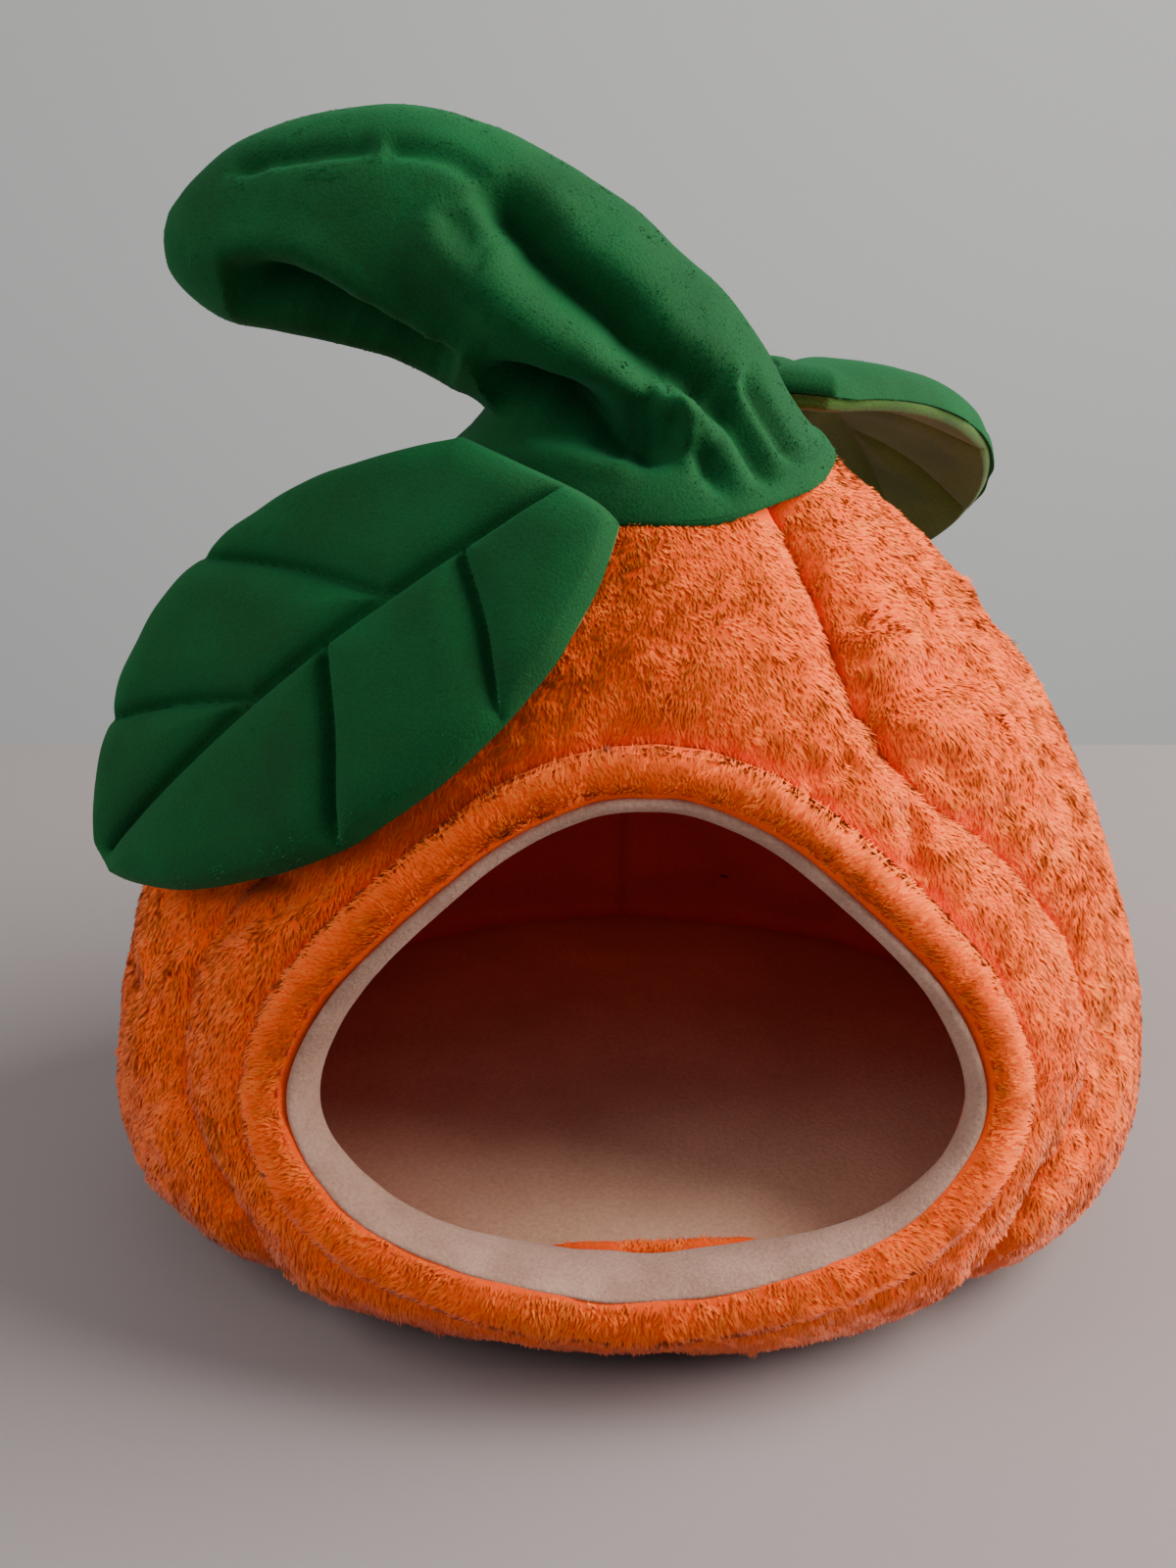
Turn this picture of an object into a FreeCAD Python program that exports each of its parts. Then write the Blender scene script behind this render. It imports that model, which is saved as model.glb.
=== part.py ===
import FreeCAD, Part
import os
from math import cos, radians, sin

from FreeCAD import Matrix, Vector

# A plush cave bed for a small pet, made like an orange: five padded gores with a mouth
# in the front one, a green crown with a floppy stem, and two quilted leaves.
# Millimetres. +Z is up, the mouth faces -Y, and z = 0 is the surface that it stands on.

# Body: outer half profile as (radius, height), from the base edge to the crown ring
body_profile = [(97, 0), (115, 8), (127, 22), (128, 45), (123, 70), (113, 98), (99, 126), (82, 150),
                (62, 172), (42, 189)]
body_depth_ratio = 0.875        # front to back over side to side
body_shift_y = 4.0              # the widest part sits a little behind the origin
crown_lean_x = 0.02             # sideways lean per unit of height
crown_lean_y = -0.04            # forward lean per unit of height

# Wall layers, as depths below the outer profile
cover_thickness = 2.5
wadding_outer = 2.8
wadding_inner = 16.0
lining_outer = 16.3
lining_inner = 18.0
roll_outer = -3.0               # the mouth roll stands proud of the cover
roll_inner = 16.0
roll_skin = 2.0
layer_end_height = 1.6          # the wall starts just above the base cloth

# Gores: azimuth from the front, towards +X
side_seam_angle = 114.0
back_seam_angle = 180.0
seam_gap = 0.4
layer_gap = 0.3                 # between one layer of cloth or padding and the next
cutter_size = 600.0             # larger than the body, for boxes and prisms that cut it
# Half of the bell-shaped front gore, as (x, z) from bottom to top
front_gore_half = [(72, -8), (90, 29), (104, 50), (106, 68), (101, 88), (90, 105), (77, 119), (63, 129),
                   (52, 143), (43, 156), (38, 170), (29, 187), (24, 200)]

# Mouth: half of the clear opening, as (x, z) from the bottom to the top
mouth_half = [(0, 34), (22, 36), (43, 40), (59, 46), (70, 57), (72, 68), (65, 84), (52, 100), (30, 120),
              (13, 129), (0, 131)]
binding_inner = 2.2             # distances outwards from this line
binding_outer = 4.8
roll_edge = 13.0

# Base and floor
base_radius = 97.0
base_cloth_thickness = 1.2
base_pad_radius = 87.0
base_pad_top = 14.4
base_lining_top = 16.2
cushion_radius = 101.0
cushion_foot_radius = 86.0      # where its flat underside ends
cushion_bottom = 16.8
cushion_widest = 24.6
cushion_top = 30.2
cushion_skin = 1.5
cushion_edge_radius = 5.0       # rounding of its upper edge

# Crown collar
crown_centre = Vector(2, -5, 0)
collar_outline = [(46, 182), (43, 188), (38, 194), (32.4, 200)]     # (radius, height)
collar_width = 2.1              # of the cloth, measured level
crown_plug_radius = 23.0
crown_plug_bottom = 177.2
crown_plug_top = 190.0
crown_lining_radius = 24.0
crown_lining_thickness = 1.6

# Stem: a stuffed lobe that lies over to one side, turning in a ball-shaped foot
stem_pivot = Vector(1, -5, 211)
stem_foot_radius = 31.0
stem_clearance = 0.7
stem_skin = 1.6
# Sections as (x, z, half height across the lobe, half depth, lean of the centreline from upright)
stem_sections = [(1, 185, 14, 14, 0), (1, 190, 21, 21, 0), (1, 197, 26, 25, 0), (1, 206, 29, 27, 5),
                 (-3, 215, 30, 27, 22), (-11, 225, 29, 25, 42), (-24, 233, 28, 24, 60), (-45, 238, 27, 22, 80),
                 (-68, 240, 25, 20, 90), (-86, 239, 19, 16, 94), (-99, 237, 11, 10, 98), (-105, 236, 4, 4, 98)]

# Leaves
leaf_length = 127.0
leaf_half_width = 41.5
leaf_widest = 0.45              # along the length
leaf_base_reach = 0.62          # outline formula: reach towards the base and the tip
leaf_tip_reach = 0.60
leaf_stations = [0.0, 0.12, 0.26, 0.45, 0.62, 0.76, 0.88, 0.96, 1.02]
leaf_edge_half_thickness = 2.2
leaf_middle_bulge = 2.8
leaf_skin = 1.0


def plane_curve(points):
    curve = Part.BSplineCurve()
    curve.interpolate([Vector(x, 0, z) for x, z in points])
    return curve


def half_loop_curve(points, side=1):
    """Half of a closed outline, level where it meets the middle plane."""
    curve = Part.BSplineCurve()
    curve.interpolate([Vector(x, 0, z) for x, z in points],
                      InitialTangent=Vector(side, 0, 0), FinalTangent=Vector(-side, 0, 0))
    return curve


def moved_points(curve, distance, count):
    """Points of the curve moved to its left, in the XZ plane."""
    first, last = curve.FirstParameter, curve.LastParameter
    result = []
    for index in range(count):
        parameter = first + (last - first) * index / (count - 1)
        point = curve.value(parameter)
        tangent = curve.tangent(parameter)[0]
        result.append((point.x - tangent.z * distance, point.z + tangent.x * distance))
    return result


def mirrored(points):
    return [(-x, z) for x, z in reversed(points)]


def loop_face(points):
    """The face inside a half outline and its mirror image."""
    right = half_loop_curve(points)
    left = half_loop_curve(mirrored(points), side=-1)
    return Part.Face(Part.Wire([right.toShape(), left.toShape()]))


def flank_face(points):
    """The face between a right flank and its mirror image, with level ends."""
    right = plane_curve(points)
    left = plane_curve(mirrored(points))
    top = Part.LineSegment(right.EndPoint, left.StartPoint)
    bottom = Part.LineSegment(left.EndPoint, right.StartPoint)
    return Part.Face(Part.Wire([right.toShape(), top.toShape(), left.toShape(), bottom.toShape()]))


def front_prism(face, back_y):
    """The face carried from in front of the body back to back_y."""
    front_y = -cutter_size / 2
    face.translate(Vector(0, front_y, 0))
    return face.extrude(Vector(0, back_y - front_y, 0))


outer_curve = plane_curve(body_profile)
profile_points = 14


def wall_layer(outer_depth, inner_depth):
    """A shell of revolution between two depths below the outer profile."""
    outer = plane_curve(moved_points(outer_curve, outer_depth, profile_points))
    inner = plane_curve(moved_points(outer_curve, inner_depth, profile_points))
    top = Part.LineSegment(outer.EndPoint, inner.EndPoint)
    bottom = Part.LineSegment(inner.StartPoint, outer.StartPoint)
    wire = Part.Wire([outer.toShape(), top.toShape(), inner.toShape(), bottom.toShape()])
    shell = Part.Face(wire).revolve(Vector(0, 0, 0), Vector(0, 0, 1), 360)
    corner = Vector(-cutter_size / 2, -cutter_size / 2, layer_end_height)
    above = Part.makeBox(cutter_size, cutter_size, cutter_size, corner)
    return shell.common(above)


def body_block(depth):
    """The whole body inside a depth below the outer profile, up to the crown ring."""
    curve = plane_curve(moved_points(outer_curve, depth, profile_points))
    top = Vector(0, 0, curve.EndPoint.z)
    bottom = Vector(0, 0, curve.StartPoint.z)
    wire = Part.Wire([curve.toShape(), Part.LineSegment(curve.EndPoint, top).toShape(),
                      Part.LineSegment(top, bottom).toShape(), Part.LineSegment(bottom, curve.StartPoint).toShape()])
    return Part.Face(wire).revolve(Vector(0, 0, 0), Vector(0, 0, 1), 360)


def body_matrix():
    """From the round model body to the real one: flatter front to back, leaning a little."""
    matrix = Matrix()
    matrix.A13 = crown_lean_x
    matrix.A22 = body_depth_ratio
    matrix.A23 = crown_lean_y
    matrix.A24 = body_shift_y
    return matrix


def to_body(shape):
    return shape.transformGeometry(body_matrix())


def direction(angle):
    return Vector(sin(radians(angle)), -cos(radians(angle)), 0)


def wedge(start_angle, end_angle):
    """An upright prism that holds the azimuths between two seams, less half the gap at each."""
    middle = (start_angle + end_angle) / 2
    inset = direction(middle) * (seam_gap / 2 / sin(radians((end_angle - start_angle) / 2)))
    corners = [inset, inset + direction(start_angle) * cutter_size, inset + direction(middle) * cutter_size * 2,
               inset + direction(end_angle) * cutter_size]
    wire = Part.makePolygon(corners + [corners[0]])
    prism = Part.Face(wire).extrude(Vector(0, 0, cutter_size))
    prism.translate(Vector(0, 0, -cutter_size / 4))
    return prism


bell_curve = plane_curve(front_gore_half)
mouth_curve = half_loop_curve(mouth_half)
bell_count = 14
mouth_count = 13
bell_back_y = -4
mouth_back_y = -45


def bell_prism(grow):
    """Prism of the front gore's outline, its flanks moved outwards by grow."""
    return front_prism(flank_face(moved_points(bell_curve, -grow, bell_count)), bell_back_y)


def mouth_prism(grow):
    """Prism of the mouth outline, moved outwards by grow."""
    return front_prism(loop_face(moved_points(mouth_curve, -grow, mouth_count)), mouth_back_y)


def gores(name, outer_depth, inner_depth, hole_grow):
    """One wall layer, cut into its five gores."""
    layer = wall_layer(outer_depth, inner_depth)
    bell = bell_prism(-seam_gap / 2)
    bell_cut = bell_prism(seam_gap / 2)
    side = side_seam_angle
    pieces = {
        "front_" + name: layer.common(bell).cut(mouth_prism(hole_grow)),
        "right_" + name: layer.common(wedge(0, side)).cut(bell_cut),
        "left_" + name: layer.common(wedge(-side, 0)).cut(bell_cut),
        "back_right_" + name: layer.common(wedge(side, back_seam_angle)),
        "back_left_" + name: layer.common(wedge(-back_seam_angle, -side)),
    }
    return {node: to_body(shape) for node, shape in pieces.items()}


def ring_prism(outer_grow, inner_grow):
    return mouth_prism(outer_grow).cut(mouth_prism(inner_grow))


def mouth_edge():
    """The padded roll around the mouth, its filler, and the narrow binding inside it."""
    inner_edge = binding_outer + seam_gap
    roll = wall_layer(roll_outer, roll_inner).common(ring_prism(roll_edge, inner_edge))
    core = wall_layer(roll_outer + roll_skin, roll_inner - roll_skin)
    filler = core.common(ring_prism(roll_edge - roll_skin, inner_edge + roll_skin))
    binding = wall_layer(cover_thickness / 2, lining_inner).common(ring_prism(binding_outer, binding_inner))
    return {"mouth_roll_cover": to_body(roll.cut(filler)),
            "mouth_roll_filler": to_body(filler),
            "mouth_binding": to_body(binding)}


def disc(radius, bottom, top):
    return Part.makeCylinder(radius, top - bottom, Vector(0, 0, bottom))


def body_ellipse(radius, height):
    """A level ellipse in the body's own proportions."""
    centre = Vector(crown_lean_x * height, body_shift_y + crown_lean_y * height, height)
    side_end = centre + Vector(radius, 0, 0)
    back_end = centre + Vector(0, radius * body_depth_ratio, 0)
    return Part.Wire([Part.Ellipse(side_end, back_end, centre).toShape()])


def oval_disc(radius, bottom, top):
    """A flat-faced disc in the body's proportions."""
    return Part.Face(body_ellipse(radius, bottom)).extrude(Vector(0, 0, top - bottom))


def base():
    """Anti-slip cloth under a foam pad, with the floor lining over it."""
    return {"antislip_base": oval_disc(base_radius, 0, base_cloth_thickness),
            "base_pad": oval_disc(base_pad_radius, base_cloth_thickness + layer_gap, base_pad_top),
            "base_lining": oval_disc(base_pad_radius, base_pad_top + layer_gap, base_lining_top)}


def cushion_block(inset):
    """The cushion inside its skin: a flat underside, a sloping lower edge and a rounded upper one."""
    bottom, top = cushion_bottom + inset, cushion_top - inset
    foot, rim = cushion_foot_radius - inset, cushion_radius - inset
    round_edge = cushion_edge_radius - inset
    corner = round_edge * (1 - cos(radians(45)))
    outline = [Vector(0, 0, bottom), Vector(foot, 0, bottom), Vector(rim, 0, cushion_widest)]
    last = Vector(rim - round_edge, 0, top)
    arc = Part.Arc(outline[-1], Vector(rim - corner, 0, top - corner), last)
    axis_top = Vector(0, 0, top)
    lines = [Part.LineSegment(outline[0], outline[1]), Part.LineSegment(outline[1], outline[2]), arc,
             Part.LineSegment(last, axis_top), Part.LineSegment(axis_top, outline[0])]
    face = Part.Face(Part.Wire([line.toShape() for line in lines]))
    return face.revolve(Vector(0, 0, 0), Vector(0, 0, 1), 360)


def floor_cushion():
    """A loose round cushion: two covers that meet at its widest line, over their filling."""
    filling = cushion_block(cushion_skin)
    skin = cushion_block(0).cut(filling)
    half = cutter_size / 2
    upper = Part.makeBox(cutter_size, cutter_size, half, Vector(-half, -half, cushion_widest + layer_gap / 2))
    lower = Part.makeBox(cutter_size, cutter_size, half, Vector(-half, -half, cushion_widest - layer_gap / 2 - half))
    return {"cushion_top_cover": to_body(skin.common(upper)),
            "cushion_bottom_cover": to_body(skin.common(lower)),
            "cushion_filling": to_body(filling)}


def ring_solid(outline, axis_points):
    """A solid of revolution about the crown's axis, from an outline and its points on the axis."""
    points = [Vector(r, 0, z) for r, z in outline] + [Vector(0, 0, z) for z in axis_points]
    face = Part.Face(Part.makePolygon(points + [points[0]]))
    solid = face.revolve(Vector(0, 0, 0), Vector(0, 0, 1), 360)
    solid.translate(crown_centre)
    return solid


def crown():
    """The collar over the crown ring, its filling with the seat of the stem, and the lining disc."""
    top = collar_outline[-1][1]
    bottom = collar_outline[0][1]
    outside = ring_solid(collar_outline, [top, bottom])
    inner_outline = [(r - collar_width, z) for r, z in collar_outline]
    inside = ring_solid(inner_outline, [top, bottom])
    seat = Part.makeSphere(stem_foot_radius + stem_clearance, stem_pivot)
    shell = to_body(body_block(-0.5))
    cover = outside.cut(inside).cut(shell).cut(seat)
    plug = disc(crown_plug_radius, crown_plug_bottom, crown_plug_top)
    plug.translate(crown_centre)
    core_outline = [(r - layer_gap, z) for r, z in inner_outline]
    core = ring_solid(core_outline, [top, bottom]).cut(shell)
    filling = core.fuse(plug).cut(seat)
    lining_top = crown_plug_bottom - layer_gap
    lining = disc(crown_lining_radius, lining_top - crown_lining_thickness, lining_top)
    lining.translate(crown_centre)
    return {"collar_cover": cover, "collar_filling": filling, "crown_lining": lining}


def stem_lobe(inset):
    """The lobe with its rounded foot, lofted through ellipses along a line that leans over."""
    wires = []
    for x, z, half_height, half_depth, lean in stem_sections:
        centre = Vector(x, stem_pivot.y, z)
        along = Vector(-sin(radians(lean)), 0, cos(radians(lean)))
        across = Vector(cos(radians(lean)), 0, sin(radians(lean)))
        big = half_height - inset
        small = min(half_depth - inset, big - 0.01)
        depth_way = along.cross(across)
        ellipse = Part.Ellipse(centre + across * big, centre + depth_way * small, centre)
        wires.append(Part.Wire([ellipse.toShape()]))
    return Part.makeLoft(wires, True, False)


def hollow_solid(outer, inner):
    """A solid with a closed hollow that touches none of its outside."""
    shells = [outer.Shells[0], inner.Shells[0].reversed()]
    return Part.makeSolid(Part.makeCompound(shells))


def stem():
    return {"stem_cover": hollow_solid(stem_lobe(0), stem_lobe(stem_skin)),
            "stem_filling": stem_lobe(stem_skin + layer_gap)}


class Leaf:
    """A quilted leaf: its base point, its direction, its width direction and how it bends."""

    def __init__(self, base, along, across, rise, far_sag, near_sag):
        self.base = base
        self.along = Vector(along).normalize()
        self.across = (across - self.along * across.dot(self.along)).normalize()
        self.normal = self.along.cross(self.across)
        self.rise = rise                # how far the middle stands off the chord
        self.far_sag = far_sag          # drop of the edge on the side of -across
        self.near_sag = near_sag        # drop of the edge on the side of +across

    def half_width(self, t):
        reach = leaf_base_reach if t < leaf_widest else leaf_tip_reach
        u = (t - leaf_widest) / reach
        return leaf_half_width * (1 - u * u) ** 0.75

    def middle(self, t):
        return 9 - 17 * max(t, 0) ** 1.3

    def point(self, t, x, lift):
        """Place at t along the leaf and x across it (-1 to 1), lift above its middle surface."""
        b = self.middle(t) + x * self.half_width(t)
        arch = self.rise * (1 - ((t - leaf_widest) / leaf_widest) ** 2)
        sag = self.near_sag if b > 0 else self.far_sag
        drop = sag * (b / leaf_half_width) ** 2
        return (self.base + self.along * (t * leaf_length) + self.across * b
                + self.normal * (arch - drop + lift))

    def layer(self, lower, upper):
        """The solid between two surfaces, each a function of x that gives its lift."""
        wires = []
        steps = [-1, -0.6, 0, 0.6, 1]
        for t in leaf_stations:
            top = Part.BSplineCurve()
            top.interpolate([self.point(t, x, upper(x)) for x in steps])
            bottom = Part.BSplineCurve()
            bottom.interpolate([self.point(t, x, lower(x)) for x in reversed(steps)])
            right = Part.LineSegment(top.EndPoint, bottom.StartPoint)
            left = Part.LineSegment(bottom.EndPoint, top.StartPoint)
            wires.append(Part.Wire([top.toShape(), right.toShape(), bottom.toShape(), left.toShape()]))
        return Part.makeLoft(wires, True, False)


def leaf_half_thickness(x):
    return leaf_edge_half_thickness + leaf_middle_bulge * (1 - x * x) ** 0.7


def leaf_pieces(name, leaf):
    def core(x):
        return leaf_half_thickness(x) - leaf_skin - layer_gap

    return {
        name + "_top_cover": leaf.layer(lambda x: leaf_half_thickness(x) - leaf_skin, leaf_half_thickness),
        name + "_wadding": leaf.layer(lambda x: -core(x), core),
        name + "_under_cover": leaf.layer(lambda x: -leaf_half_thickness(x), lambda x: leaf_skin - leaf_half_thickness(x)),
    }


front_leaf = Leaf(base=Vector(-24.5, -44.8, 192.5), along=Vector(-0.707, -0.02, -0.707),
                  across=Vector(0.481, -0.746, -0.46), rise=8, far_sag=-2, near_sag=5)
back_leaf = Leaf(base=Vector(41.7, 31.4, 195), along=Vector(0.261, 0.854, -0.45),
                 across=Vector(-0.956, 0.292, 0.0), rise=13, far_sag=9, near_sag=9)

nodes = {}
nodes.update(gores("gore_cover", 0, cover_thickness, roll_edge + seam_gap))
nodes.update(gores("gore_wadding", wadding_outer, wadding_inner, roll_edge + seam_gap))
nodes.update(gores("gore_lining", lining_outer, lining_inner, binding_outer + seam_gap))
nodes.update(mouth_edge())
nodes.update(base())
nodes.update(floor_cushion())
nodes.update(crown())
nodes.update(stem())
nodes.update(leaf_pieces("front_leaf", front_leaf))
nodes.update(leaf_pieces("back_leaf", back_leaf))

os.makedirs("parts", exist_ok=True)
for node, shape in nodes.items():
    solids = shape.Solids
    solid = solids[0] if len(solids) == 1 else Part.makeCompound(solids)
    box = solid.BoundBox
    print("%-26s %d %6.1f cm3 valid %s  x %.0f %.0f y %.0f %.0f z %.1f %.1f" % (
        node, len(solids), solid.Volume / 1000, solid.isValid(), box.XMin, box.XMax, box.YMin, box.YMax,
        box.ZMin, box.ZMax))
    solid.exportStep("parts/" + node + ".step")
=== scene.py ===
import math

import bmesh
import bpy
import numpy as np
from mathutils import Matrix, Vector


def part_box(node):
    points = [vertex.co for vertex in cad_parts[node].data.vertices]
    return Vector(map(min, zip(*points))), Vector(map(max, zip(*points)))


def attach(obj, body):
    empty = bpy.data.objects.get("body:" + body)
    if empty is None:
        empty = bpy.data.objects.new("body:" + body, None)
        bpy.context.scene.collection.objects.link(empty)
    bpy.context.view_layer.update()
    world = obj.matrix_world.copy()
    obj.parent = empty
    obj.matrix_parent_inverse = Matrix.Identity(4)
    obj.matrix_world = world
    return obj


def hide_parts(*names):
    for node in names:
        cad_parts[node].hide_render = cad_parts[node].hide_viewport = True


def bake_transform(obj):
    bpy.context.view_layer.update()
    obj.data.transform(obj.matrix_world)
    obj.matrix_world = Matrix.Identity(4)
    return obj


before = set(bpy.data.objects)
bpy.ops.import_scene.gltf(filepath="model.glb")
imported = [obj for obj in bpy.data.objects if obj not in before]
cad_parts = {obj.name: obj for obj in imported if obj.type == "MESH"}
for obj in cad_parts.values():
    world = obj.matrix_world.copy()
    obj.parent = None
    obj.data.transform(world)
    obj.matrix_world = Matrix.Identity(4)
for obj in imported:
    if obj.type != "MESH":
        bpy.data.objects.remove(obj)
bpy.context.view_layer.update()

mm = 0.001                      # everything below is worked out in millimetres
straightUp = np.array([0.0, 0.0, 1.0])
print("frame loaded:", len(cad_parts), "nodes")


# camera, looking down into the mouth
cameraSet = {"place": (-0.0093, -0.5327, 0.3204), "pitchDown": 22, "lens": 54}


def addObject(name, data):
    new = bpy.data.objects.new(name, data)
    bpy.context.scene.collection.objects.link(new)
    return new


def addCamera():
    data = bpy.data.cameras.new("camera")
    data.lens = cameraSet["lens"]
    data.sensor_width = 36
    camera = addObject("camera", data)
    camera.location = cameraSet["place"]
    camera.rotation_euler = (math.radians(90 - cameraSet["pitchDown"]), 0, 0)
    bpy.context.scene.camera = camera


addCamera()


# lines, noise and grids

def smoothLine(points, count, closed=False):
    # Catmull-Rom through the points, then evenly spaced along its length
    points = np.asarray(points, float)
    knots = [2 * points[:1] - points[1:2], points, 2 * points[-1:] - points[-2:-1]]
    knots = np.concatenate([points[-1:], points, points[:2]] if closed else knots)
    t = np.linspace(0, 1, 24, endpoint=False)[:, None]
    dense = []
    for a, b, c, d in zip(knots[:-3], knots[1:-2], knots[2:-1], knots[3:]):
        dense.append(0.5 * (2 * b + (c - a) * t + (2 * a - 5 * b + 4 * c - d) * t ** 2
                            + (3 * b - a - 3 * c + d) * t ** 3))
    dense = np.concatenate(dense + [knots[-2:-1]])
    return evenly(dense, count)


def evenly(line, count):
    steps = np.linalg.norm(np.diff(line, axis=0), axis=1)
    along = np.concatenate([[0], np.cumsum(steps)])
    wanted = np.linspace(0, along[-1], count)
    return np.stack([np.interp(wanted, along, line[:, k]) for k in range(line.shape[1])], 1)


def fullTurn(count):
    return np.linspace(0, 2 * math.pi, count, endpoint=False)


def latticeNoise(points, size, seed=0):
    # smooth value noise from -1 to 1
    place = points / size + seed * 7.31
    cell = np.floor(place).astype(np.int64)
    part = place - cell
    part = part * part * (3 - 2 * part)
    total = np.zeros(points.shape[:-1])
    for corner in np.ndindex(2, 2, 2):
        n = cell + np.array(corner)
        key = n[..., 0] * 374761393 + n[..., 1] * 668265263 + n[..., 2] * 1440662683 + seed * 974634777
        key = (key ^ (key >> 13)) * 1274126177
        value = ((key ^ (key >> 16)) & 65535) / 32767.5 - 1
        total += value * np.prod(np.where(np.array(corner) == 1, part, 1 - part), axis=-1)
    return total


def noiseVector(points, size, seed):
    return np.stack([latticeNoise(points, size, seed + k) for k in range(3)], -1)


def unit(vectors):
    return vectors / np.maximum(np.linalg.norm(vectors, axis=-1, keepdims=True), 1e-9)


def gridNormals(grid, wrap=False, inside=None):
    # normals of a rows x columns grid, turned away from a point inside if one is given
    if wrap:
        across = np.roll(grid, -1, 1) - np.roll(grid, 1, 1)
    else:
        across = np.gradient(grid, axis=1)
    up = np.gradient(grid, axis=0)
    normals = unit(np.cross(across, up))
    if inside is not None and ((grid - inside) * normals).sum() < 0:
        normals = -normals
    return normals


def distanceToLine(points, line):
    # nearest distance from each point to a polyline, and how far along it (0 to 1)
    flat = points.reshape(-1, 3)
    best = np.full(len(flat), 1e9)
    where = np.zeros(len(flat))
    for k in range(len(line) - 1):
        a, d = line[k], line[k + 1] - line[k]
        t = np.clip((flat - a) @ d / max(d @ d, 1e-9), 0, 1)
        gap = np.linalg.norm(flat - a - t[:, None] * d, axis=1)
        closer = gap < best
        best[closer] = gap[closer]
        where[closer] = ((k + t) / (len(line) - 1))[closer]
    return best.reshape(points.shape[:-1]), where.reshape(points.shape[:-1])


def foldDepth(points, folds, surface=None):
    # sum of grooves (depth > 0) and ridges (depth < 0) along lines, fading out at their ends
    total = np.zeros(points.shape[:-1])
    for line, depth, width, *fadeShare in folds:
        line = smoothLine(line, 24)
        if surface is not None:
            flat = surface.reshape(-1, 3)
            nearest = [np.argmin(((flat - p) ** 2).sum(1)) for p in line]
            line = evenly(flat[nearest] * 0.7 + line * 0.3, 24)
        gap, where = distanceToLine(points, line)
        fade = np.clip(np.minimum(where, 1 - where) / (fadeShare or [0.18])[0], 0.0, 1)
        total += depth * np.exp(-(gap / width) ** 2) * fade ** 0.7
    return total


def seamDip(gap, depth, width):
    # the rounded shoulder of padding that is pulled down to a seam
    t = 1 - np.clip(gap / width, 0, 1)
    return -depth * (1 - np.sqrt(np.maximum(1 - t * t, 0)))


def meshObject(name, points, faces, materials, indices=None, merge=False, normals=None):
    faces = np.asarray(faces, np.int32)
    mesh = bpy.data.meshes.new(name)
    mesh.vertices.add(len(points))
    mesh.vertices.foreach_set("co", (np.asarray(points) * mm).astype(np.float32).ravel())
    mesh.loops.add(faces.size)
    mesh.loops.foreach_set("vertex_index", faces.ravel())
    mesh.polygons.add(len(faces))
    mesh.polygons.foreach_set("loop_start", np.arange(0, faces.size, faces.shape[1], dtype=np.int32))
    mesh.polygons.foreach_set("use_smooth", np.full(len(faces), True))
    for material in materials:
        mesh.materials.append(material)
    if indices is not None:
        mesh.polygons.foreach_set("material_index", np.asarray(indices, np.int32))
    mesh.update(calc_edges=True)
    mesh.validate()
    if merge:                   # closes the poles of round pieces
        work = bmesh.new()
        work.from_mesh(mesh)
        bmesh.ops.remove_doubles(work, verts=work.verts, dist=0.00002)
        work.to_mesh(mesh)
        work.free()
    if normals is not None:
        mesh.normals_split_custom_set_from_vertices(normals)
    return addObject(name, mesh)


def gridFaces(index, wrap=False):
    if wrap:
        index = np.concatenate([index, index[:, :1]], 1)
    return np.stack([index[:-1, :-1], index[:-1, 1:], index[1:, 1:], index[1:, :-1]], -1).reshape(-1, 4)


def shellMesh(name, outer, inner, materials, wrap=False, poles=()):
    # a closed skin between two grids; a row that is a pole shrinks to one point
    rows, columns = outer.shape[:2]
    index = np.arange(rows * columns).reshape(rows, columns)
    other = index + rows * columns
    faces = [gridFaces(index, wrap), gridFaces(other, wrap)[:, ::-1]]
    rims = []
    if 0 not in poles:
        rims.append((index[0], other[0]))
    if -1 not in poles:
        rims.append((other[-1], index[-1]))
    for row in poles:
        outer[row] = outer[row].mean(0)
        inner[row] = inner[row].mean(0)
    if not wrap:
        rims += [(other[:, 0], index[:, 0]), (index[:, -1], other[:, -1])]
    for near, far in rims:
        if wrap:
            near, far = np.append(near, near[0]), np.append(far, far[0])
        faces.append(np.stack([far[:-1], far[1:], near[1:], near[:-1]], -1))
    points = np.concatenate([outer.reshape(-1, 3), inner.reshape(-1, 3)])
    return meshObject(name, points, np.concatenate(faces), materials, merge=bool(poles))


# materials

def node(tree, kind, **inputs):
    new = tree.nodes.new(kind)
    for name, value in inputs.items():
        new.inputs[name].default_value = value
    return new


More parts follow.
